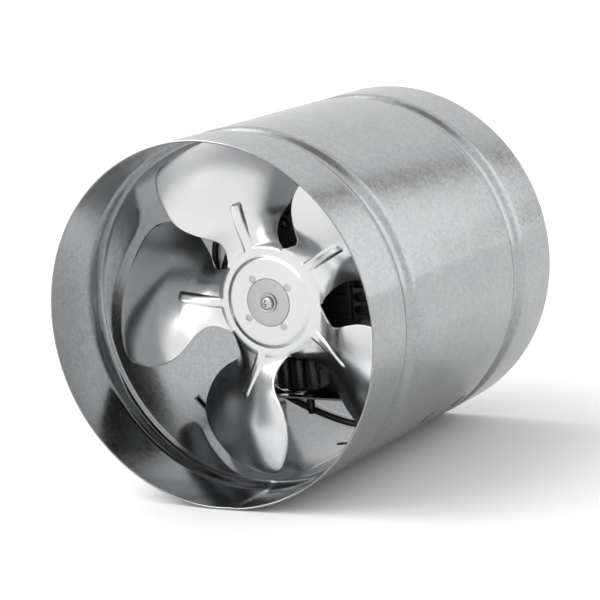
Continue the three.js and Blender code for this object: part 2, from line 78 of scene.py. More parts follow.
floor_mesh = bpy.data.meshes.new("floor")
corners = [(-1, -1), (1, -1), (1, 1), (-1, 1)]
floor_height = cad_box[0][2]
floor_mesh.from_pydata(
    [(x * FLOOR_REACH, y * FLOOR_REACH, floor_height) for x, y in corners], [], [(0, 1, 2, 3)]
)
floor = bpy.data.objects.new("floor", floor_mesh)
bpy.context.scene.collection.objects.link(floor)


class Shade:
    """A socket in the nodes of a material or the sky. Sums and products add their Math nodes."""

    def __init__(self, tree, socket=None):
        self.tree = tree
        self.socket = socket

    def node(self, kind, settings=None, sockets=None, out=0):
        """Adds a node: its settings first, then a value or a shade for each socket."""
        added = self.tree.nodes.new(kind)
        for name, value in (settings or {}).items():
            setattr(added, name, value)
        for name, value in (sockets or {}).items():
            if isinstance(value, Shade):
                self.tree.links.new(value.socket, added.inputs[name])
            else:
                added.inputs[name].default_value = value
        return Shade(self.tree, added.outputs[out])

    def math(self, operation, *values):
        return self.node("ShaderNodeMath", {"operation": operation}, dict(enumerate(values)))

    def vector(self, operation, *values, out=0):
        sockets = dict(enumerate(values))
        return self.node("ShaderNodeVectorMath", {"operation": operation}, sockets, out)

    def mix(self, amount, low, high):
        """A colour between two, by an amount from 0 to 1."""
        sockets = {0: amount, 6: low, 7: high}
        return self.node("ShaderNodeMix", {"data_type": "RGBA"}, sockets, out=2)

    def __add__(self, other):
        return self.math("ADD", self, other)

    def __mul__(self, other):
        return self.math("MULTIPLY", self, other)

    def __sub__(self, other):
        return self.math("SUBTRACT", self, other)

    def __rsub__(self, other):
        return self.math("SUBTRACT", other, self)

    __radd__ = __add__
    __rmul__ = __mul__


# The floor is near white to look at, but throws back less light, so that it doesn't flood the metal.
FLOOR_SEEN = 0.92
FLOOR_THROWN = 0.68

paint = bpy.data.materials.new("floor_paint")
paint.use_nodes = True
paint_shader = paint.node_tree.nodes["Principled BSDF"]
paint_shader.inputs["Roughness"].default_value = 0.9
paint_shader.inputs["Specular IOR Level"].default_value = 0.1
paint_shade = Shade(paint.node_tree)
seen = paint_shade.node("ShaderNodeLightPath", out="Is Camera Ray")
tone = paint_shade.mix(seen, (*[FLOOR_THROWN] * 3, 1), (*[FLOOR_SEEN] * 3, 1))
paint.node_tree.links.new(tone.socket, paint_shader.inputs["Base Color"])
floor_mesh.materials.append(paint)

# The light comes from all round: an even white sky, softboxes on the left, one behind on the right
# and one in front, less light straight overhead, and a dark seam where two panels meet behind.
SKY_LIGHT = 0.88
SOFTBOXES = [  # degrees round from straight behind, degrees up, softness, strength
    (-90, 15, 18, 0.88),
    (45, 15, 18, 0.47),
    (-135, 48, 14, 1.45),
    (-90, 48, 14, 1.65),
    (180, 42, 12, 0.55),
]
SOFTBOX_HALF = 18
OVERHEAD_LOSS = 0.6
OVERHEAD_TOWARD = (0.1, 0, 1)
OVERHEAD_EDGE = (0.86, 0.97)
SEAM_SQUARE_TO = (-0.8008, 0.4079, -0.4387)
SEAM_TOWARD = (0.22, 0.88, 0.42)
SEAM_EDGE = (0.012, 0.035)
SEAM_ENDS = (0.86, 0.93)
SEAM_DARKNESS = 0.9

studio = bpy.data.worlds.new("studio")
studio.use_nodes = True
sky = Shade(studio.node_tree)
toward = sky.node("ShaderNodeTexCoord", out="Generated")


def ramp_up(value, low, high):
    return sky.node(
        "ShaderNodeMapRange", {"interpolation_type": "SMOOTHSTEP"},
        {"Value": value, "From Min": low, "From Max": high},
    )


def facing(direction):
    unit = Vector(direction).normalized()
    return sky.vector("DOT_PRODUCT", toward, unit, out="Value")


light = SKY_LIGHT - OVERHEAD_LOSS * ramp_up(facing(OVERHEAD_TOWARD), *OVERHEAD_EDGE)
for round_angle, up_angle, softness, strength in SOFTBOXES:
    level = math.cos(math.radians(up_angle))
    sideways, behind = math.sin(math.radians(round_angle)), math.cos(math.radians(round_angle))
    direction = (sideways * level, behind * level, math.sin(math.radians(up_angle)))
    inner = math.cos(math.radians(SOFTBOX_HALF))
    outer = math.cos(math.radians(SOFTBOX_HALF + softness))
    light = light + strength * ramp_up(facing(direction), outer, inner)
across = sky.math("ABSOLUTE", facing(SEAM_SQUARE_TO))
seam = (1 - ramp_up(across, *SEAM_EDGE)) * ramp_up(facing(SEAM_TOWARD), *SEAM_ENDS)
light = light * (1 - SEAM_DARKNESS * seam)
studio.node_tree.links.new(light.socket, studio.node_tree.nodes["Background"].inputs["Strength"])
studio.node_tree.nodes["Background"].inputs["Color"].default_value = (1, 1, 1, 1)
bpy.context.scene.world = studio

# ---- Casing -------------------------------------------------------------------------------------
# A tube rolled from one galvanised sheet and lapped along its floor. Two grooves are rolled in, the
# two feet of the motor's bracket sit on four round pressed pads, and a small hole drains the floor.
MM = 0.001
CASING_R = 105
HALF_LENGTH = 117
WALL = 1
GROOVE_Y = 71
GROOVE_HALF = 9.5
GROOVE_DEPTH = 3.2
PAD_R = 6.5
PAD_DEPTH = 0.8
PAD_EDGE = 0.35
PAD_SPREAD = 0.8
PAD_ANGLES = (-130, -50)
PADS = [(angle, y) for angle in PAD_ANGLES for y in (9.5, 50.5)]
RIM_ROUND = 0.25
LAP_INSIDE = -86
LAP_OUTSIDE = -93
LAP_STEP = 0.45
LAP_FADE = 14
FLOOR_HOLE_R = 3.5
FLOOR_HOLE_Y = 26


def smooth(x, low, high):
    t = min(1, max(0, (x - low) / (high - low)))
    return t * t * (3 - 2 * t)


def polar(r, angle):
    return r * math.cos(math.radians(angle)), r * math.sin(math.radians(angle))


def spaced(low, high, coarse, fine, spans):
    """Stations from low to high, closer together inside the given spans."""
    stations = [low]
    while stations[-1] < high:
        here = stations[-1] + 1e-6
        inside = any(start <= here < end for start, end in spans)
        step = fine if inside else coarse
        starts = [start for start, _ in spans if here < start < here + step]
        stations.append(min([high, stations[-1] + step, *starts]))
    return stations


def meshed(name, points, faces, repair=None):
    """A new piece from points in metres, repaired if asked, with its faces turned outwards."""
    mesh = bpy.data.meshes.new(name)
    mesh.from_pydata(points, [], faces)
    work = bmesh.new()
    work.from_mesh(mesh)
    if repair:
        repair(work)
    bmesh.ops.recalc_face_normals(work, faces=work.faces)
    work.to_mesh(mesh)
    work.free()
    made = bpy.data.objects.new(name, mesh)
    bpy.context.scene.collection.objects.link(made)
    return made


def welded(work):
    bmesh.ops.remove_doubles(work, verts=work.verts, dist=1e-7)
    bmesh.ops.dissolve_degenerate(work, edges=work.edges, dist=1e-7)


def skinned(name, loops):
    """A closed skin over loops of points in millimetres; the last loop joins the first."""
    count = len(loops[0])
    points = [Vector(p) * MM for loop in loops for p in loop]
    faces = []
    for i in range(len(loops)):
        here, there = i * count, (i + 1) % len(loops) * count
        for j in range(count):
            k = (j + 1) % count
            faces.append((here + j, there + j, there + k, here + k))
    return meshed(name, points, faces, welded)


def worked(piece, operation, *tools):
    """Cuts tools away from a piece, or joins them to it, and uses the tools up."""
    for tool in tools:
        step = piece.modifiers.new(operation, "BOOLEAN")
        step.operation = operation
        step.solver = "EXACT"
        step.object = tool
    bpy.context.view_layer.update()
    result = piece.evaluated_get(bpy.context.evaluated_depsgraph_get())
    mesh = bpy.data.meshes.new_from_object(result)
    piece.modifiers.clear()
    piece.data = mesh
    for tool in tools:
        bpy.data.objects.remove(tool)
    return piece


def turned(name, outline, sides=72, x=0, z=0):
    """A piece turned about a line along Y: its closed outline is given as (radius, y)."""
    angles = [360 * i / sides for i in range(sides)]
    loops = [
        [(x + polar(r, a)[0], y, z + polar(r, a)[1]) for a in angles] for r, y in outline
    ]
    return skinned(name, loops)


def pin(r, y0, y1, sides, x=0, z=0):
    """A plain round tool along Y, to cut a hole with."""
    return turned("pin", [(0, y0), (r, y0), (r, y1), (0, y1)], sides, x, z)


def upright(x, y, z):
    """Turns a piece's own line from Y to Z and moves it to a place in millimetres."""
    return Matrix.Translation((x * MM, y * MM, z * MM)) @ Matrix.Rotation(math.pi / 2, 4, "X")


def placed(piece, material, body, slot, *nodes, crease=35, bevel=0):
    """Gives a piece its material and edges, and puts it in place of its CAD nodes."""
    piece.data.materials.clear()
    piece.data.materials.append(material)
    if bevel:
        edge = piece.modifiers.new("edges", "BEVEL")
        edge.width = bevel * MM
        edge.segments = 2
        edge.limit_method = "ANGLE"
        edge.angle_limit = math.radians(crease)
        edge.harden_normals = True
    piece.data.shade_smooth()
    piece.data.set_sharp_from_angle(angle=math.radians(crease))
    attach(piece, body)
    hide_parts(*nodes)


def groove(y):
    away = min(1, abs(abs(y) - GROOVE_Y) / GROOVE_HALF)
    return GROOVE_DEPTH * (1 + math.cos(math.pi * away)) / 2


def pressed(angle, y, r):
    """How far the pads push the sheet in at a place, for a press of radius r."""
    away = min(
        math.hypot(CASING_R * math.radians(angle - pad), y - pad_y) for pad, pad_y in PADS
    )
    return PAD_DEPTH * (1 - smooth(away, r - PAD_EDGE, r + PAD_EDGE))


def lapped(distance):
    """The sheet's end stands off by a step that fades out round the tube."""
    return LAP_STEP * (1 - smooth(distance, 0, LAP_FADE)) if distance >= 0 else 0


def skin(angle, y, side):
    """The radius of one side of the sheet at a place. Inside, the pads come out a little wider."""
    if side == "outer":
        return CASING_R - groove(y) - pressed(angle, y, PAD_R) - lapped(angle - LAP_OUTSIDE)
    dent = pressed(angle, y, PAD_R + PAD_SPREAD)
    return CASING_R - WALL - groove(y) - dent - lapped(LAP_INSIDE - angle)


pad_reach = math.degrees((PAD_R + 2) / CASING_R)
pad_spans = [(pad - pad_reach, pad + pad_reach) for pad in PAD_ANGLES]
laps = [(lap - 0.1, lap + 0.1) for lap in (LAP_OUTSIDE, LAP_INSIDE)]
casing_angles = spaced(-170, -10, 2, 0.6, pad_spans + laps)
casing_angles += [-10 + 200 * i / 100 for i in range(1, 100)]
end = HALF_LENGTH - RIM_ROUND
stations = [-end, *spaced(
    -end + 0.3, end - 0.3, 5, 1,
    [(-GROOVE_Y - 10, -GROOVE_Y + 10), (-4, 64), (GROOVE_Y - 10, GROOVE_Y + 10)],
), end]


def casing_loop(y, side, inset=0):
    """A loop round one side of the sheet, set into it by an inset at the rims."""
    into = -inset if side == "outer" else inset
    places = [polar(skin(a, y, side) + into, a) for a in casing_angles]
    return [(x, y, z) for x, z in places]


casing = skinned("casing_tube", [
    *[casing_loop(y, "outer") for y in stations],
    *[casing_loop(HALF_LENGTH, side, RIM_ROUND) for side in ("outer", "inner")],
    *[casing_loop(y, "inner") for y in reversed(stations)],
    *[casing_loop(-HALF_LENGTH, side, RIM_ROUND) for side in ("inner", "outer")],
])
drill = pin(FLOOR_HOLE_R, -8, 8, 40)
drill.matrix_world = upright(0, FLOOR_HOLE_Y, -CASING_R)
worked(casing, "DIFFERENCE", drill)


class Finish:
    """A material under way: values that are the same all over, and shades fed to the shader."""

    def __init__(self, name, **values):
        self.material = bpy.data.materials.new(name)
        self.material.use_nodes = True
        tree = self.material.node_tree
        self.shader = tree.nodes["Principled BSDF"]
        self.start = Shade(tree)
        self.place = self.start.node("ShaderNodeTexCoord", out="Object")
        for socket, value in values.items():
            self.shader.inputs[socket.replace("_", " ")].default_value = value

    def feed(self, socket, shade):
        self.start.tree.links.new(shade.socket, self.shader.inputs[socket])

    def noise(self, scale, detail=2, roughness=0.5, place=None):
        sockets = {"Vector": place or self.place, "Scale": scale}
        sockets |= {"Detail": detail, "Roughness": roughness}
        return self.start.node("ShaderNodeTexNoise", {}, sockets)

    def stretched(self, x, y, z):
        """The place on the piece, scaled along each axis."""
        return self.start.vector("MULTIPLY", self.place, (x, y, z))

    def blend(self, amount, low, high):
        return self.start.mix(amount, (*low, 1), (*high, 1))

    def ramp(self, value, start, stop):
        """0 at start and 1 at stop, with a straight ramp between them."""
        sockets = {"Value": value, "From Min": start, "From Max": stop}
        return self.start.node("ShaderNodeMapRange", {}, sockets)

    def bumped(self, height, distance):
        sockets = {"Height": height, "Distance": distance, "Strength": 1.0}
        self.feed("Normal", self.start.node("ShaderNodeBump", {}, sockets))


def galvanised_sheet():
    """Zinc spangle: small crystals that differ in brightness and gloss, with painted shade inside the
    tube.
    """
    zinc = Finish("galvanised_sheet", Metallic=1.0)
    cells = {"Vector": zinc.place, "Scale": 620.0}
    crystals = zinc.start.node("ShaderNodeTexVoronoi", {"distance": "EUCLIDEAN"}, cells, out="Color")
    crystal = zinc.start.node("ShaderNodeSeparateColor", {}, {"Color": crystals}, out="Red")
    cloud = zinc.noise(38.0, 4)
    grain = zinc.noise(1500.0, 2)
    bright = zinc.blend(
        crystal * 0.38 + cloud * 0.5 + grain * 0.12, (0.37, 0.377, 0.385), (0.58, 0.588, 0.596)
    )
    # Painted shade: faces that look in towards the tube's axis get a darker colour, standing in for the
    # dim inside of the tube.
    normal = zinc.start.node("ShaderNodeNewGeometry", out="Normal")
    outward = zinc.start.vector("NORMALIZE", zinc.stretched(1, 0, 1))
    away = zinc.start.vector("DOT_PRODUCT", normal, outward, out="Value")
    inside = zinc.ramp(away, 0.2, -0.2)
    painted_inside_shade = zinc.start.vector("MULTIPLY", bright, (0.66, 0.665, 0.67))
    zinc.feed("Base Color", zinc.start.mix(inside, bright, painted_inside_shade))
    zinc.feed("Roughness", 0.10 + crystal * 0.04 + cloud * 0.06)
    zinc.bumped(crystal * 0.5 + grain * 0.5, 0.00002)
    return zinc.material


galvanised = galvanised_sheet()
placed(casing, galvanised, "housing", "galvanised_steel", "casing", crease=40)

# ---- Impeller -----------------------------------------------------------------------------------
# Stamped from one aluminium sheet: a stepped flat hub and five sickle blades, each bent to its
# pitch and stiffened by a rib that runs out from the hub.
HUB_Y = -47
SHEET = 1.2
BLADES = 5
TIP_R = 100
ROOT_R = 33.5
FIRST_BLADE = 111
BOSS_R = 14
GAP = 0.3
RIB_END = 61
RIB_SWEEP = 4.6
RIB_ROOT_WIDTH = 3.3
RIB_TAPER = 0.5
PITCH = 0.438
CAMBER = 0.00315
TIP_LEAN = 4.7
HUB_STEP = 1.2
PAD_STEP = 0.9
BULGE = 3.9
RIB_RISE = 0.1
RIVET_CIRCLE = 16.5
RIVET_ANGLE = 34.3
RIVET_HOLE_R = 1.7
# blade edges as (radius, degrees from the rib line)
LEADING = [
    (33.5, 33), (33.7, 31), (34.4, 28.7), (36, 25.3), (40, 19.6), (45, 17.6), (50, 19.5), (57, 23.3),
    (65, 25.7), (74, 25.9), (84, 24.0), (92, 21.3), (97, 18.9), (99, 17.0), (99.75, 15.6), (100, 14),
]
TRAILING = [
    (33.5, -39), (33.7, -37), (34.4, -34.8), (36, -31.8), (40, -27), (45, -24.9), (50, -25.6),
    (57, -28.2), (65, -30.8), (74, -32), (84, -31.4), (92, -29.3), (97, -27), (99, -25.1),
    (99.75, -23.6), (100, -22),
]


def along(curve, r):
    """A smooth value between the points of a curve of (radius, value)."""
    k = max(0, min(len(curve) - 2, sum(radius <= r for radius, _ in curve) - 1))
    (r0, v0), (r1, v1) = curve[k], curve[k + 1]
    before = curve[k - 1] if k else curve[0]
    after = curve[k + 2] if k + 2 < len(curve) else curve[-1]
    slope0 = (v1 - before[1]) / (r1 - before[0])
    slope1 = (after[1] - v0) / (after[0] - r0)
    width = r1 - r0
    t = (r - r0) / width
    rise = t * t * (3 - 2 * t)
    return (
        v0 + (v1 - v0) * rise
        + width * (slope0 * t * (1 - t) ** 2 - slope1 * t * t * (1 - t))
    )


def rib_angle(r):
    return -RIB_SWEEP * min(1.2, max(0, (r - 30) / 30))


def rib_width(r):
    return RIB_ROOT_WIDTH - RIB_TAPER * smooth(r, ROOT_R, RIB_END)


def near_middle(r, a):
    """1 on the rib line, falling to 0 at both edges of the blade."""
    rib = rib_angle(r)
    to_trailing = (a - rib) / (along(TRAILING, max(r, ROOT_R)) - rib)
    to_leading = (a - rib) / (along(LEADING, max(r, ROOT_R)) - rib)
    return max(0, (1 - to_trailing) * (1 - to_leading))


def sheet_depth(r, a):
    """How far behind the hub's front the sheet lies, at a degrees from the rib line."""
    arc = -r * math.radians(a)
    twist = PITCH * smooth(r, 30, 55) * (TIP_R / max(r, 30)) ** 0.6
    camber = CAMBER * min(1, max(0, (r - 30) / 25))
    lean = -TIP_LEAN * min(1, max(0, (r - ROOT_R) / (TIP_R - ROOT_R)))
    across = abs(r * math.radians(a - rib_angle(r)))
    width = rib_width(r)
    on_rib = (1 - smooth(across, 0.45 * width, width)) * (1 - smooth(r, RIB_END - 3, RIB_END))
    middle = near_middle(r, a)
    bulge = BULGE * smooth(r, 36, 58) * (1 - 0.75 * smooth(r, 72, TIP_R)) * middle
    step = HUB_STEP * smooth(r, 24.4, 27.8) + PAD_STEP * smooth(r, 30.5, 35) * (1 - on_rib)
    step += PAD_STEP * smooth(r, 31, 42) * (1 - middle)
    rib = RIB_RISE * on_rib * smooth(r, 36, 45)
    return step + lean + twist * arc + camber * arc * arc - bulge - rib


def across_blade(r):
    """Angles across a blade, closer together over the rib."""
    low, high = along(TRAILING, max(r, ROOT_R)), along(LEADING, max(r, ROOT_R))
    rib = rib_angle(r)
    half = math.degrees(1.3 * rib_width(r) / r)
    angles = [low + (rib - half - low) * i / 18 for i in range(18)]
    angles += [rib - half + 2 * half * i / 20 for i in range(20)]
    return angles + [rib + half + (high - rib - half) * i / 18 for i in range(19)]


def sheet_point(r, a):
    x, z = polar(r, FIRST_BLADE + a)
    return Vector((x, HUB_Y + sheet_depth(r, a), z))


def thickened(name, points, normals, faces):
    """A sheet of metal behind an open surface, with its cut edges softened."""
    nose = 0.18
    rims = {}
    for face in faces:
        for start, stop in zip(face, face[1:] + face[:1]):
            if (stop, start) in rims:
                del rims[(stop, start)]
            else:
                rims[(start, stop)] = None
    following = {start: stop for start, stop in rims}
    leading = {stop: start for start, stop in rims}
    layers = [list(points)]
    for depth, swell in ((nose, nose), (SHEET - nose, nose), (SHEET, 0)):
        layer = {}
        for i in range(len(points)):
            if i in following:
                tangent = points[following[i]] - points[leading[i]]
                outward = tangent.cross(normals[i]).normalized()
            else:
                outward = Vector()
            layer[i] = points[i] - normals[i] * depth + outward * swell
        layers.append([layer[i] for i in range(len(points))])
    count = len(points)
    skin_points = [p * MM for layer in layers for p in layer]
    skin_faces = list(faces) + [tuple(3 * count + i for i in reversed(face)) for face in faces]
    for start, stop in rims:
        for layer in range(3):
            near, far = layer * count, (layer + 1) * count
            skin_faces.append((near + stop, near + start, far + start, far + stop))

    def trimmed(work):
        loose = [v for v in work.verts if not v.link_faces]
        bmesh.ops.delete(work, geom=loose, context="VERTS")

    return meshed(name, skin_points, skin_faces, trimmed)


def impeller_sheet():
    hub_rings = spaced(BOSS_R + GAP, ROOT_R, 1.2, 0.35, [(24.7, 27.9), (30.8, ROOT_R)])
    blade_rings = [ROOT_R + step for step in (0.05, 0.15, 0.3, 0.55, 0.9, 1.4, 2, 2.7, 3.5)]
    blade_rings += spaced(38, TIP_R - 3, 1.35, 0.6, [(RIB_END - 4, RIB_END + 1)])
    blade_rings += [TIP_R - step for step in (2.2, 1.5, 0.9, 0.5, 0.25, 0.1, 0)]
    points, normals, faces = [], [], []

    def add(r, a, blade):
        here = sheet_point(r, a)
        outward = sheet_point(r + 0.1, a) - here
        round_axis = sheet_point(r, a + 0.1) - here
        turn = Matrix.Rotation(-2 * math.pi / BLADES * blade, 3, "Y")
        points.append(turn @ here)
        normals.append(turn @ outward.cross(round_axis).normalized() * -1)
        return len(points) - 1

    ring = []
    for r in hub_rings:
        inner = ring
        ring = [add(r, a, blade) for blade in range(BLADES) for a in across_blade(r)[:-1]]
        for i in range(len(inner)):
            k = (i + 1) % len(ring)
            faces.append((inner[i], inner[k], ring[k], ring[i]))
    columns = len(ring) // BLADES
    for blade in range(BLADES):
        row = [ring[(blade * columns + i) % len(ring)] for i in range(columns + 1)]
        for r in blade_rings:
            outer = [add(r, a, blade) for a in across_blade(r)]
            for i in range(columns):
                faces.append((row[i], row[i + 1], outer[i + 1], outer[i]))
            row = outer
    return thickened("impeller_sheet", points, normals, faces)


def rivet_drills():
    places = [polar(RIVET_CIRCLE, RIVET_ANGLE + 90 * i) for i in range(4)]
    return [pin(RIVET_HOLE_R, HUB_Y - 8, HUB_Y + 9, 24, x, z) for x, z in places]


def bright_aluminium():
    """Bright rolled sheet with a faint grain along the rolling direction."""
    metal = Finish("bright_aluminium", Metallic=1.0)
    grain = metal.noise(900.0, 2, 0.6, metal.stretched(1, 1, 0.12))
    cloud = metal.noise(30.0, 3)
    amount = cloud * 0.7 + grain * 0.3
    metal.feed("Base Color", metal.blend(amount, (0.80, 0.805, 0.81), (0.93, 0.935, 0.94)))
    metal.feed("Roughness", 0.17 + cloud * 0.08 + grain * 0.03)
    metal.bumped(grain, 0.00002)
    return metal.material


aluminium = bright_aluminium()
impeller = worked(impeller_sheet(), "DIFFERENCE", *rivet_drills())
placed(impeller, aluminium, "rotor", "impeller_aluminium", "impeller", crease=42)

# ---- Hub bush and its rivets --------------------------------------------------------------------
# A turned zinc bush carries the sheet on the shaft. Its flat boss shows in the middle of the hub,
# with one small locating dimple, and four rivets clench the sheet to the flange behind it.
BUSH_FRONT = -48.5
FLANGE_FRONT = -45.5
FLANGE_BACK = -42.5
FLANGE_R = 21
NECK_R = 9
NECK_END = -30.5
BORE = 4.3
DIMPLE_AT = polar(11.5, 60)


def rounded(outline, r, steps=3):
    """Rounds the corners of a closed outline of pairs, leaving those that lie on the axis."""
    result = []
    for i, here in enumerate(outline):
        a = Vector(outline[i - 1]) - Vector(here)
        b = Vector(outline[(i + 1) % len(outline)]) - Vector(here)
        on_axis = abs(here[0]) < 1e-6
        if on_axis or a.length < 1e-6 or b.length < 1e-6:
            result.append(tuple(here))
            continue
        reach = min(r, 0.45 * a.length, 0.45 * b.length)
        start = Vector(here) + a.normalized() * reach
        stop = Vector(here) + b.normalized() * reach
        for k in range(steps + 1):
            t = k / steps
            p = start * (1 - t) ** 2 + Vector(here) * 2 * t * (1 - t) + stop * t * t
            result.append(tuple(p))
    return result


def cast_zinc():
    zinc = Finish("cast_zinc", Metallic=1.0)
    cloud = zinc.noise(120.0, 4)
    grain = zinc.noise(1600.0, 2)
    zinc.feed("Base Color", zinc.blend(cloud, (0.55, 0.55, 0.545), (0.70, 0.70, 0.695)))
    zinc.feed("Roughness", 0.30 + cloud * 0.12)
    zinc.bumped(grain, 0.00003)
    return zinc.material


zinc_alloy = cast_zinc()
bush = turned("hub_bush_turned", rounded([
    (BORE, BUSH_FRONT), (BOSS_R, BUSH_FRONT), (BOSS_R, FLANGE_FRONT),
    (FLANGE_R, FLANGE_FRONT), (FLANGE_R, FLANGE_BACK), (NECK_R, FLANGE_BACK), (NECK_R, NECK_END),
    (BORE, NECK_END),
], 0.35), 96)
dimple = turned("dimple", [
    (0, BUSH_FRONT - 1), (1.15, BUSH_FRONT - 1), (1.1, BUSH_FRONT + 0.3), (0, BUSH_FRONT + 0.9),
], 32, *DIMPLE_AT)
worked(bush, "DIFFERENCE", *rivet_drills(), dimple)
placed(bush, zinc_alloy, "rotor", "zinc_hub", "hub_bush")

for i in range(4):
    x, z = polar(RIVET_CIRCLE, RIVET_ANGLE + 90 * i)
    face = HUB_Y - GAP
    back = FLANGE_BACK + GAP
    rivet = turned(f"rivet_{i + 1}", rounded([
        (0, face - 1.2), (1.9, face - 1.15), (2.4, face - 0.8), (2.45, face), (1.4, face), (1.4, back),
        (2.1, back), (1.6, back + 0.8), (0, back + 1),
    ], 0.15), 40, x, z)
    placed(rivet, zinc_alloy, "rotor", "zinc_hub", f"hub_rivet_{i + 1}")

# ---- Shaft screw and washer ---------------------------------------------------------------------
# A zinc-plated cross-recess screw, driven into the tapped end of the shaft, holds the hub on it
# over a lipped plated washer.
WASHER_FRONT = -49.6
WASHER_BACK = -48.8
WASHER_BORE = 2.3
HEAD_FRONT = -51.9
HEAD_BACK = -49.9


def plated_steel():
    steel = Finish("plated_steel", Metallic=1.0)
    cloud = steel.noise(260.0, 3)
    steel.feed("Base Color", steel.blend(cloud, (0.60, 0.61, 0.615), (0.76, 0.765, 0.765)))
    steel.feed("Roughness", 0.18 + cloud * 0.12)
    return steel.material


def cross_recess(front, depth, x=0, z=0):
    """The tapered cross that a driver sinks into: wide at the front and narrow at the bottom."""
    loops = []
    for y, size in ((front - 1, 1.25), (front, 1.0), (front + depth, 0.45)):
        long, short = 2.3 * size, 0.55 * size
        corner = [(long, short), (short, short), (short, long)]
        quarter_turns = [
            (px * math.cos(t) - pz * math.sin(t), px * math.sin(t) + pz * math.cos(t))
            for t in (0, math.pi / 2, math.pi, 1.5 * math.pi) for px, pz in corner
        ]
        loops.append([(x + px, y, z + pz) for px, pz in quarter_turns])
    centre_front = [(x, front - 1, z)] * 12
    centre_back = [(x, front + depth, z)] * 12
    return skinned("recess", [centre_front, *loops, centre_back])


plated = plated_steel()
washer = turned("lipped_washer", rounded([
    (WASHER_BORE, WASHER_FRONT + 0.15), (4.6, WASHER_FRONT + 0.15), (4.9, WASHER_FRONT - 0.1),
    (5.5, WASHER_FRONT - 0.1), (5.7, WASHER_FRONT + 0.15), (5.6, WASHER_BACK),
    (WASHER_BORE, WASHER_BACK),
], 0.12), 72)
placed(washer, plated, "rotor", "plated_steel", "hub_washer")
screw = turned("shaft_screw_turned", rounded([
    (0, HEAD_FRONT), (1.6, HEAD_FRONT + 0.08), (3.0, HEAD_FRONT + 0.4), (3.8, HEAD_FRONT + 1.0),
    (4.0, HEAD_FRONT + 1.6), (4.0, HEAD_BACK), (1.9, HEAD_BACK), (1.9, -36), (0, -35),
], 0.15), 64)
worked(screw, "DIFFERENCE", cross_recess(HEAD_FRONT, 1.5))
placed(screw, plated, "rotor", "plated_steel", "shaft_screw")

# ---- Shaft and rotor ----------------------------------------------------------------------------
# A ground steel shaft is pressed through a cage of steel laminations, die-cast with aluminium
# rings. It runs in two bearings, and the hub sits on its front end.
SHAFT_R = 4
STACK = (-4, 28)
ROTOR_R = 19


def laminated_steel():
    """Edges of thin varnished sheets, so the gloss changes in fine lines round the stack."""
    stack = Finish("laminated_steel", Metallic=1.0)
    lines = stack.start.node(
        "ShaderNodeTexWave", {"bands_direction": "Y"}, {"Vector": stack.place, "Scale": 320.0}
    )
    cloud = stack.noise(90.0, 3)
    amount = lines * 0.5 + cloud * 0.5
    stack.feed("Base Color", stack.blend(amount, (0.10, 0.105, 0.11), (0.26, 0.265, 0.27)))
    stack.feed("Roughness", 0.38 + lines * 0.2)
    stack.bumped(lines, 0.0001)
    return stack.material


laminated = laminated_steel()
shaft = turned("motor_shaft_ground", rounded([
    (2.2, -47.8), (SHAFT_R - 0.4, -47.8), (SHAFT_R, -47.4), (SHAFT_R, 50), (0, 50), (0, -33), (2.2, -34),
], 0.2), 64)
placed(shaft, plated, "rotor", "plated_steel", "motor_shaft")
cage = turned("rotor_cage", rounded([
    (BORE, STACK[0] - 4), (16.5, STACK[0] - 4), (17, STACK[0]), (ROTOR_R, STACK[0]),
    (ROTOR_R, STACK[1]), (17, STACK[1]), (16.5, STACK[1] + 4), (BORE, STACK[1] + 4),
], 0.5), 72)
placed(cage, laminated, "rotor", "lamination", "rotor_core")

# ---- Stator and its coils -----------------------------------------------------------------------
# A stack of punched steel laminations with four poles, clamped between the two shields. A taped
# coil is wound round the neck of each pole.
STACK_R = 46
YOKE_R = 36
POLE_HALF = 7
SHOE_INNER = 19.8
SHOE_OUTER = 22.5
SHOE_ANGLE = 34
SCREW_CIRCLE = 42
SCREW_ANGLES = (90, 210, 330)
SCREW_R = 2
COIL_DEPTH = 9.6


def extruded(name, outline, y0, y1):
    """An outline of (x, z) made solid from y0 to y1."""
    count = len(outline)
    points = [(x * MM, y * MM, z * MM) for y in (y0, y1) for x, z in outline]
    faces = [tuple(range(count)), tuple(reversed(range(count, 2 * count)))]
    faces += [(i, i + count, (i + 1) % count + count, (i + 1) % count) for i in range(count)]
    return meshed(name, points, faces)


def arc(r, start, stop, steps, x=0, z=0):
    angles = [start + (stop - start) * i / steps for i in range(steps + 1)]
    return [(x + polar(r, a)[0], z + polar(r, a)[1]) for a in angles]


def screw_drills():
    places = [polar(SCREW_CIRCLE, angle) for angle in SCREW_ANGLES]
    return [pin(SCREW_R + GAP, -60, 80, 32, x, z) for x, z in places]


def pole_window():
    def neck(r):
        return math.degrees(math.asin(POLE_HALF / r))

    outline = []
    for pole in range(4):
        centre = 90 * pole
        outline += arc(SHOE_INNER, centre - SHOE_ANGLE, centre + SHOE_ANGLE, 20)
        outline += arc(SHOE_OUTER, centre + SHOE_ANGLE, centre + neck(SHOE_OUTER), 5)
        outline += arc(YOKE_R, centre + neck(YOKE_R), centre + 90 - neck(YOKE_R), 18)
        outline += arc(SHOE_OUTER, centre + 90 - neck(SHOE_OUTER), centre + 90 - SHOE_ANGLE, 5)
    return extruded("window", outline, STACK[0] - 5, STACK[1] + 5)


def coil_tape():
    tape = Finish("coil_tape", Metallic=0.0)
    weave = tape.noise(700.0, 3, 0.6)
    tape.feed("Base Color", tape.blend(weave, (0.012, 0.012, 0.012), (0.04, 0.039, 0.037)))
    tape.feed("Roughness", 0.38 + weave * 0.2)
    tape.bumped(weave, 0.0002)
    return tape.material


def laid_round(offset):
    """A loop of (x, y) round a pole's neck, at an offset from it, with rounded ends."""
    half_x, half_y = POLE_HALF + offset, (STACK[1] - STACK[0]) / 2 + offset
    r = min(offset + 0.2, half_x)
    loop = []
    for start, sx, sy in ((0, 1, 1), (90, -1, 1), (180, -1, -1), (270, 1, -1)):
        loop += arc(r, start, start + 90, 6, sx * (half_x - r), sy * (half_y - r))
    return loop


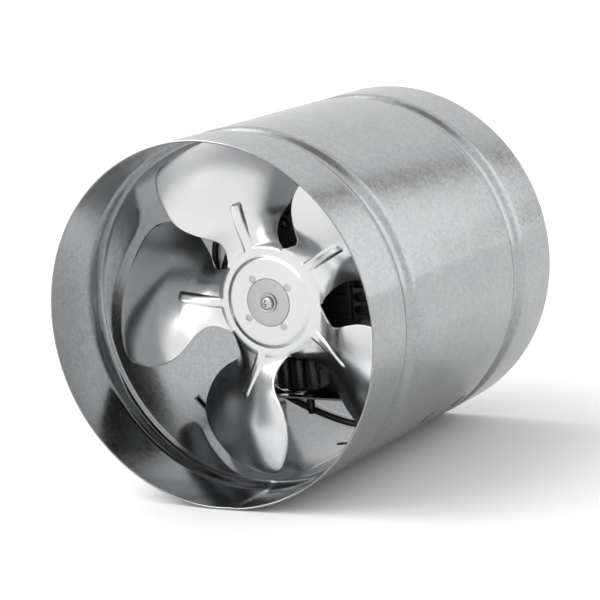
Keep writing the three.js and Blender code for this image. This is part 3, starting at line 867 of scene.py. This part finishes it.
layers = []
for i in range(int(STACK[1] - STACK[0])):
    y = STACK[0] + i
    layers += [(STACK_R - 0.12, y), (STACK_R, y + 0.12), (STACK_R, y + 0.88), (STACK_R - 0.12, y + 1)]
stack = turned("stator_laminations", [(15, STACK[0]), *layers, (15, STACK[1])], 144)
worked(stack, "DIFFERENCE", pole_window(), *screw_drills())
placed(stack, laminated, "housing", "lamination", "stator_stack")

taped = coil_tape()
stack_middle = (STACK[0] + STACK[1]) / 2
for i in range(4):
    section = rounded([(GAP, 0), (5.3, 0), (5.3, COIL_DEPTH), (GAP, COIL_DEPTH)], 1.8, 5)
    coil_turn = Matrix.Rotation(math.radians(90 * i), 3, "Y")
    coil_loops = []
    for offset, height in section:
        rise = SHOE_OUTER + 2 * GAP + 0.3 + height
        coil_loops.append([
            coil_turn @ Vector((x, stack_middle + y, rise)) for x, y in laid_round(offset)
        ])
    coil = skinned(f"coil_{i + 1}", coil_loops)
    placed(coil, taped, "housing", "coil_tape", f"field_coil_{i + 1}")

# ---- Motor shields, bearings and through screws -------------------------------------------------
# Two black die-cast cups clamp the stack between them on three long screws. Each holds a sintered
# bearing in its nose. The front one has a ribbed lug with three pockets on its right-hand side and
# a flat lug above its top screw.
MOTOR_R = 48.5
MOTOR_FRONT = -24
MOTOR_REAR = 48
SIDE_LUG = (40.5, 58, MOTOR_FRONT + 1, -14, -14, 12)  # x from and to, then y, then z
TOP_LUG = (-6, 11, -18.5, -14.2, 46.9, 62)
POCKET_PITCH = 8
NUT_CORNER_R = 4
NUT_THICKNESS = 2.8
SKIRT = 2
BEARING_R = 7
BEARING_LENGTH = 11
BEARING_STARTS = {"front_bearing": -25.7, "rear_bearing": 39}
BASE_HALF = 14.7
BASE_TOP = -38.7


def black_casting():
    cast = Finish("black_casting", Metallic=0.0)
    orange_peel = cast.noise(420.0, 3, 0.55)
    cast.feed("Base Color", cast.blend(orange_peel, (0.010, 0.0105, 0.011), (0.024, 0.025, 0.026)))
    cast.feed("Roughness", 0.30 + orange_peel * 0.16)
    cast.bumped(orange_peel, 0.00016)
    return cast.material


def box(x0, x1, y0, y1, z0, z1, r=0):
    """A block between two corners, its corners seen from the front rounded."""
    outline = [(x1, z0), (x1, z1), (x0, z1), (x0, z0)]
    if not r:
        return extruded("block", outline, y0, y1)
    centres = [(x1 - r, z1 - r), (x0 + r, z1 - r), (x0 + r, z0 + r), (x1 - r, z0 + r)]
    rounded_outline = []
    for i, (x, z) in enumerate(centres):
        rounded_outline += arc(r, 90 * i, 90 * i + 90, 5, x, z)
    return extruded("block", rounded_outline, y0, y1)


black_cast = black_casting()
front_shield = turned("front_shield_cast", [
    (BORE, -29), (8.6, -29), (9, -28.6), (11, -24.6), (12, MOTOR_FRONT), (MOTOR_R - 2.5, MOTOR_FRONT),
    (MOTOR_R - 1.2, MOTOR_FRONT + 0.35), (MOTOR_R - 0.35, MOTOR_FRONT + 1.2), (MOTOR_R, MOTOR_FRONT + 2.5),
    (MOTOR_R, STACK[0] - GAP), (MOTOR_R - SKIRT, STACK[0] - GAP), (MOTOR_R - SKIRT, -19), (11, -19),
    (11, -14), (BEARING_R + GAP, -14), (BEARING_R + GAP, -26), (BORE, -26),
], 120)
ridge_front = MOTOR_FRONT - 1.6
worked(front_shield, "UNION", box(*SIDE_LUG, 1.5), box(*TOP_LUG, 1.5))
worked(
    front_shield, "UNION",
    box(25.5, 28, ridge_front, MOTOR_FRONT + 2, -13, 12.5),
    box(25.5, 43, ridge_front, MOTOR_FRONT + 2, -1, 1),
    box(40.5, 42.4, ridge_front - 0.8, MOTOR_FRONT + 2, -14, 12),
    extruded(
        "gusset", [(26.5, -10.5), (27.5, -8), (41.5, -11.6), (41.5, -14)],
        ridge_front, MOTOR_FRONT + 2,
    ),
)
drops = [POCKET_PITCH * i for i in range(3)]
pockets = [box(43.4, 56.4, -30, -18.5, 4.7 - drop, 10.3 - drop, 2.2) for drop in drops]
arch = box(-BASE_HALF - GAP, BASE_HALF + GAP, -60, STACK[0], -60, BASE_TOP + GAP)
worked(front_shield, "DIFFERENCE", *pockets, *screw_drills(), arch)
placed(front_shield, black_cast, "housing", "black_casting", "front_shield", bevel=0.35)

rear_shield = turned("rear_shield_cast", [
    (BEARING_R + GAP, 52), (BEARING_R + GAP, 38), (11, 38), (11, 43), (MOTOR_R - SKIRT, 43),
    (MOTOR_R - SKIRT, STACK[1] + GAP), (MOTOR_R, STACK[1] + GAP), (MOTOR_R, MOTOR_REAR - 2.5),
    (MOTOR_R - 0.35, MOTOR_REAR - 1.2), (MOTOR_R - 1.2, MOTOR_REAR - 0.35), (MOTOR_R - 2.5, MOTOR_REAR),
    (13, MOTOR_REAR), (11, 48.8), (9.6, 51.6), (9, 52),
], 120)
vents = []
for i in range(12):
    if i % 4 != 3:
        vent = box(-2.5, 2.5, 35, 60, 20, 36, 2.4)
        vent.matrix_world = Matrix.Rotation(math.radians(30 * i), 4, "Y")
        vents.append(vent)
worked(rear_shield, "DIFFERENCE", *vents, *screw_drills())
placed(rear_shield, black_cast, "housing", "black_casting", "rear_shield", bevel=0.35)


def sintered_bronze():
    bronze = Finish("sintered_bronze", Metallic=1.0)
    pores = bronze.noise(1400.0, 3)
    bronze.feed("Base Color", bronze.blend(pores, (0.34, 0.22, 0.11), (0.56, 0.41, 0.24)))
    bronze.feed("Roughness", 0.40 + pores * 0.2)
    bronze.bumped(pores, 0.0001)
    return bronze.material


bronze_bearing = sintered_bronze()
for name, y0 in BEARING_STARTS.items():
    y1 = y0 + BEARING_LENGTH
    bearing = turned(f"{name}_sintered", rounded([
        (BORE, y0), (BEARING_R, y0), (BEARING_R, y1), (BORE, y1),
    ], 0.8), 64)
    placed(bearing, bronze_bearing, "housing", "sintered_bronze", name)


def blackened_steel():
    black = Finish("blackened_steel", Metallic=1.0)
    cloud = black.noise(320.0, 3)
    black.feed("Base Color", black.blend(cloud, (0.035, 0.036, 0.039), (0.075, 0.077, 0.081)))
    black.feed("Roughness", 0.26 + cloud * 0.16)
    return black.material


blackened = blackened_steel()
for i, angle in enumerate(SCREW_ANGLES):
    x, z = polar(SCREW_CIRCLE, angle)
    front = MOTOR_FRONT - 3
    long_screw = turned(f"through_screw_{i + 1}", rounded([
        (0, front), (1.6, front + 0.1), (2.9, front + 0.7), (3.5, front + 1.7), (3.5, MOTOR_FRONT - GAP),
        (SCREW_R, MOTOR_FRONT - GAP), (SCREW_R, 52), (0, 52.4),
    ], 0.15), 48, x, z)
    worked(long_screw, "DIFFERENCE", cross_recess(front, 1.5, x, z))
    placed(long_screw, blackened, "housing", "blackened_steel", f"shield_screw_{i + 1}")
    hexagon, seat = arc(NUT_CORNER_R, 30, 330, 5, x, z), MOTOR_REAR + GAP
    nut = extruded(f"through_nut_{i + 1}", hexagon, seat, seat + NUT_THICKNESS)
    worked(nut, "DIFFERENCE", pin(SCREW_R + GAP, 40, 60, 32, x, z))
    placed(nut, plated, "housing", "plated_steel", f"shield_nut_{i + 1}", bevel=0.3)

# ---- Motor base ---------------------------------------------------------------------------------
# A black nylon moulding carries the motor: three rounded lobes in front, under the front shield,
# and a saddle behind them that is screwed down to the bracket.
PLATE_Z = -65
LOBE_FRONT = -23.9
LOBE_BACK = -4.9
LOBE_BOTTOM = -58
LOBE_EDGE = ((0, 0.9), (0.9, 0.25), (1.6, 0))  # height from the end, and how far it is drawn in
BASE_SCREW_X = 13
BASE_SCREW_Y = 20
BASE_SCREW_HOLE_R = 2.3


def black_nylon():
    nylon = Finish("black_nylon", Metallic=0.0, Specular_IOR_Level=0.5)
    texture = nylon.noise(650.0, 2)
    nylon.feed("Base Color", nylon.blend(texture, (0.008, 0.0085, 0.009), (0.018, 0.0185, 0.019)))
    nylon.feed("Roughness", 0.22 + texture * 0.14)
    nylon.bumped(texture, 0.00008)
    return nylon.material


nylon = black_nylon()
lobe_pitch = 2 * BASE_HALF / 3
levels = [(LOBE_BOTTOM + height, inset) for height, inset in LOBE_EDGE]
levels += [(BASE_TOP - height, inset) for height, inset in reversed(LOBE_EDGE)]
base = None
for i in range(3):
    centre = BASE_HALF - lobe_pitch * (i + 0.5)
    r = lobe_pitch / 2
    # seen from above a lobe is a half round nose on a straight back
    nose = [(LOBE_FRONT + r - polar(r, a)[1], centre + polar(r, a)[0]) for a in range(0, 181, 10)]
    outline = [(LOBE_BACK, centre + r - 0.01), *nose, (LOBE_BACK, centre - r + 0.01)]
    loops = []
    for z, inset in levels:
        shrink = (r - inset) / r
        loops.append([
            (centre + (x - centre) * shrink, y + inset * (y < -12), z) for y, x in outline
        ])
    ends = [[(centre, -14, z)] * len(outline) for z in (LOBE_BOTTOM, BASE_TOP)]
    lobe = skinned(f"lobe_{i}", [ends[0], *loops, ends[1]])
    base = lobe if base is None else worked(base, "UNION", lobe)
saddle = box(-20, 20, 0, 40, PLATE_Z + GAP, -44)
worked(saddle, "DIFFERENCE", pin(MOTOR_R + 0.6, -80, 80, 144))
bridge = box(-BASE_HALF + 0.5, BASE_HALF - 0.5, -8, 2, -57.6, -50.4)
backing = box(-BASE_HALF + 0.5, BASE_HALF - 0.5, LOBE_FRONT + 6, LOBE_BACK, -57.6, BASE_TOP - 0.5)
worked(base, "UNION", bridge, saddle, backing)
screw_seats = []
for x in (-BASE_SCREW_X, BASE_SCREW_X):
    seat = pin(BASE_SCREW_HOLE_R, -10, 10, 32)
    seat.matrix_world = upright(x, BASE_SCREW_Y, PLATE_Z)
    screw_seats.append(seat)
worked(base, "DIFFERENCE", *screw_seats)
base.name = "motor_base_moulded"
placed(base, nylon, "housing", "black_nylon", "motor_base", crease=40, bevel=0.4)

# ---- Bracket ------------------------------------------------------------------------------------
# One galvanised strip bent into a low hat: a flat plate, two sloping legs and two feet that lie
# along the casing's wall, welded to its pads. The plate has a slot and a hole for the lead.
BRACKET_SHEET = 1.5
BRACKET_Y = (-12, 60)
PLATE_HALF = 32
FOOT_ANGLES = (-41, -57)
SLOT = (-31, -4, -7, 0.5)  # x from and to, then y
CLIP_AT = (0.5, -9)
CLIP_HOLE_R = 2.3
FOOT_BEND_R = 1.2
PLATE_BEND_R = 2.5
FOOT_R = CASING_R - PAD_DEPTH - WALL - GAP - BRACKET_SHEET / 2


def bend(before, corner, after, r, steps=6):
    """Points round a bend of inner radius r between two straight stretches."""
    a, b, c = Vector(before), Vector(corner), Vector(after)
    into, out = (a - b).normalized(), (c - b).normalized()
    half = into.angle(out) / 2
    reach = r / math.tan(half)
    start, stop = b + into * reach, b + out * reach
    return [
        tuple(start * (1 - t) ** 2 + b * 2 * t * (1 - t) + stop * t * t)
        for t in (k / steps for k in range(steps + 1))
    ]


def bracket_line():
    """The strip's middle line in (x, z), from one foot over the plate to the other."""
    foot = arc(FOOT_R, FOOT_ANGLES[0], FOOT_ANGLES[1], 10)
    plate_end = (PLATE_HALF, PLATE_Z - BRACKET_SHEET / 2)
    half = foot[:-1]
    half += bend(foot[-2], foot[-1], plate_end, FOOT_BEND_R)
    half += bend(foot[-1], plate_end, (0, plate_end[1]), PLATE_BEND_R)
    return half + [(-x, z) for x, z in reversed(half)]


def strip_loops(line, thickness, y0, y1):
    """Sweeps the strip's section along its middle line."""
    edge = 0.3
    loops = []
    for i, (x, z) in enumerate(line):
        before, after = line[max(0, i - 1)], line[min(len(line) - 1, i + 1)]
        way = (Vector(after) - Vector(before)).normalized()
        side = Vector((-way.y, way.x)) * thickness / 2
        loops.append([
            (x + side.x, y0 + edge, z + side.y), (x + side.x * 0.6, y0, z + side.y * 0.6),
            (x - side.x * 0.6, y0, z - side.y * 0.6), (x - side.x, y0 + edge, z - side.y),
            (x - side.x, y1 - edge, z - side.y), (x - side.x * 0.6, y1, z - side.y * 0.6),
            (x + side.x * 0.6, y1, z + side.y * 0.6), (x + side.x, y1 - edge, z + side.y),
        ])
    return loops


def capped(loops):
    """Closes both ends of a run of loops with their own middles."""
    ends = []
    for loop in (loops[0], loops[-1]):
        middle = sum((Vector(p) for p in loop), Vector()) / len(loop)
        ends.append([tuple(middle)] * len(loop))
    return [ends[0], *loops, ends[1]]


strip = strip_loops(bracket_line(), BRACKET_SHEET, *BRACKET_Y)
bracket = skinned("motor_bracket_bent", capped(strip))
lead_slot = box(*SLOT, PLATE_Z - 5, PLATE_Z + 5)
holes = [(*CLIP_AT, CLIP_HOLE_R)]
holes += [(x, BASE_SCREW_Y, BASE_SCREW_HOLE_R) for x in (-BASE_SCREW_X, BASE_SCREW_X)]
punches = []
for x, y, r in holes:
    punch = pin(r, -6, 6, 32)
    punch.matrix_world = upright(x, y, PLATE_Z)
    punches.append(punch)
worked(bracket, "DIFFERENCE", lead_slot, *punches)
placed(bracket, galvanised, "housing", "galvanised_steel", "motor_bracket")

for i, x in enumerate((-BASE_SCREW_X, BASE_SCREW_X)):
    seat = PLATE_Z - BRACKET_SHEET - GAP
    base_screw = turned(f"plate_screw_{i + 1}", rounded([
        (0, -9.6), (2, -9), (2, 0), (3.5, 0), (3.5, 1.2), (2.8, 2.2), (0, 2.6),
    ], 0.2), 40)
    base_screw.data.transform(
        Matrix.Translation((x * MM, BASE_SCREW_Y * MM, seat * MM))
        @ Matrix.Rotation(-math.pi / 2, 4, "X")
    )
    placed(base_screw, plated, "housing", "plated_steel", f"base_screw_{i + 1}")

# ---- Motor lead ---------------------------------------------------------------------------------
# A black flexible sheath comes out of the motor's left, passes down through the bracket's slot,
# under the plate in its clip, and across to the terminal block.
LEAD_R = 2
LEAD_ROUTE = [
    (-36, -12, 36), (-42, -13.5, 37.5), (-49, -16, 34), (-52.6, -17, 25), (-52.8, -16, 10),
    (-54, -8, -8), (-53, 3, -26), (-47, 5, -44), (-38, 1, -56), (-29, -3.5, -62.6),
    (-20, -3.5, -66.8), (-11, -3, -71.2), (-0.5, -3, -75.3), (12, -3, -79.3), (24, -2, -82.4),
    (31, 3, -83.4), (34, 10, -83.2),
]


def sheathed(name, route, r, sides=20, steps=8):
    """A round lead along a smooth curve through the route's points."""
    points = [Vector(p) for p in route]
    path = []
    for i in range(len(points) - 1):
        p0, p1, p2 = points[max(0, i - 1)], points[i], points[i + 1]
        p3 = points[min(len(points) - 1, i + 2)]
        for k in range(steps):
            t = k / steps
            path.append(0.5 * (
                2 * p1 + (p2 - p0) * t + (2 * p0 - 5 * p1 + 4 * p2 - p3) * t * t
                + (3 * p1 - p0 - 3 * p2 + p3) * t ** 3
            ))
    path.append(points[-1])
    side = Vector((0, 0, 1))
    loops = []
    for i, here in enumerate(path):
        way = (path[min(len(path) - 1, i + 1)] - path[max(0, i - 1)]).normalized()
        side = (side - way * side.dot(way)).normalized()
        other = way.cross(side)
        loops.append([
            tuple(here + (side * math.cos(t) + other * math.sin(t)) * r)
            for t in (2 * math.pi * k / sides for k in range(sides))
        ])
    return skinned(name, capped(loops))


def sheath_rubber():
    rubber = Finish("sheath_rubber", Metallic=0.0)
    bloom = rubber.noise(300.0, 3)
    rubber.feed("Base Color", rubber.blend(bloom, (0.010, 0.011, 0.011), (0.026, 0.028, 0.028)))
    rubber.feed("Roughness", 0.30 + bloom * 0.15)
    return rubber.material


lead = sheathed("motor_lead_sheath", LEAD_ROUTE, LEAD_R)
placed(lead, sheath_rubber(), "housing", "lead_sheath", "motor_lead")

# ---- Lead clip ----------------------------------------------------------------------------------
# A clip moulded in black nylon and pushed into the plate: a round head on top and two sprung
# prongs that hold under it.


def stood(piece, x, y, z):
    """Stands a turned piece up at a place in millimetres."""
    piece.data.transform(upright(x, y, z))
    return piece


clip_outline = rounded([
    (0, -11), (1.5, -11), (2.7, -7), (2.5, -2.2), (2, -1.8), (2, 0.3), (4, 0.3), (4, 1.5),
    (2.5, 2.3), (0, 2.3),
], 0.25)
clip = turned("lead_clip_moulded", clip_outline, 40)
split = box(-0.5, 0.5, -12, -2.5, -4, 4)
worked(clip, "DIFFERENCE", split)
stood(clip, *CLIP_AT, PLATE_Z)
placed(clip, nylon, "housing", "black_nylon", "lead_clip")

# ---- Terminal block -----------------------------------------------------------------------------
# A pale nylon block stands on the inner face of the right-hand leg. A slotted plated clamp screw
# sits in each of its three wells.
BLOCK_Y = (12, 42)
BLOCK_BASE = BRACKET_SHEET / 2 + GAP
BLOCK_RISE = 11
POLES_Y = (17, 27, 37)
WELL_X = -3.5
WELL_R = 2.6
CLAMP_R = 2.2
CLAMP_HALF = 1.5
CLAMP_RISE = 8.9
leg_top = Vector((PLATE_HALF, PLATE_Z - BRACKET_SHEET / 2))
leg_foot = Vector(polar(FOOT_R, FOOT_ANGLES[1]))
leg_middle = (leg_top + leg_foot) / 2
leg_slope = math.atan2(leg_foot.y - leg_top.y, leg_foot.x - leg_top.x)
on_leg = (
    Matrix.Translation((leg_middle.x * MM, 0, leg_middle.y * MM))
    @ Matrix.Rotation(math.pi - leg_slope, 4, "Y")
)


def pale_nylon():
    pale = Finish("pale_nylon", Metallic=0.0, Subsurface_Weight=0.08)
    cloud = pale.noise(120.0, 2)
    pale.feed("Base Color", pale.blend(cloud, (0.66, 0.64, 0.58), (0.74, 0.72, 0.67)))
    pale.feed("Roughness", 0.35 + cloud * 0.12)
    return pale.material


block_top = BLOCK_BASE + BLOCK_RISE
terminal = box(-8, 8, *BLOCK_Y, BLOCK_BASE, block_top, 0.8)
terminal.name = "terminal_block_moulded"
wells = [stood(pin(WELL_R, -4, 4, 40), WELL_X, y, block_top) for y in POLES_Y]
gaps = [box(-9, 9, y - 0.5, y + 0.5, block_top - 3, block_top + 1) for y in (22, 32)]
worked(terminal, "DIFFERENCE", *wells, *gaps)
terminal.data.transform(on_leg)
placed(terminal, pale_nylon(), "housing", "pale_nylon", "terminal_block", bevel=0.3)
for i, y in enumerate(POLES_Y):
    clamp = turned(f"clamp_screw_{i + 1}", rounded([
        (0, -CLAMP_HALF), (CLAMP_R, -CLAMP_HALF), (CLAMP_R, CLAMP_HALF), (0, CLAMP_HALF),
    ], 0.25), 40)
    stood(clamp, WELL_X, y, BLOCK_BASE + CLAMP_RISE)
    driver_slot = box(
        WELL_X - 3, WELL_X + 3, y - 0.4, y + 0.4, BLOCK_BASE + CLAMP_RISE + 1, BLOCK_BASE + 12
    )
    worked(clamp, "DIFFERENCE", driver_slot)
    clamp.data.transform(on_leg)
    placed(clamp, plated, "housing", "plated_steel", f"terminal_screw_{i + 1}")
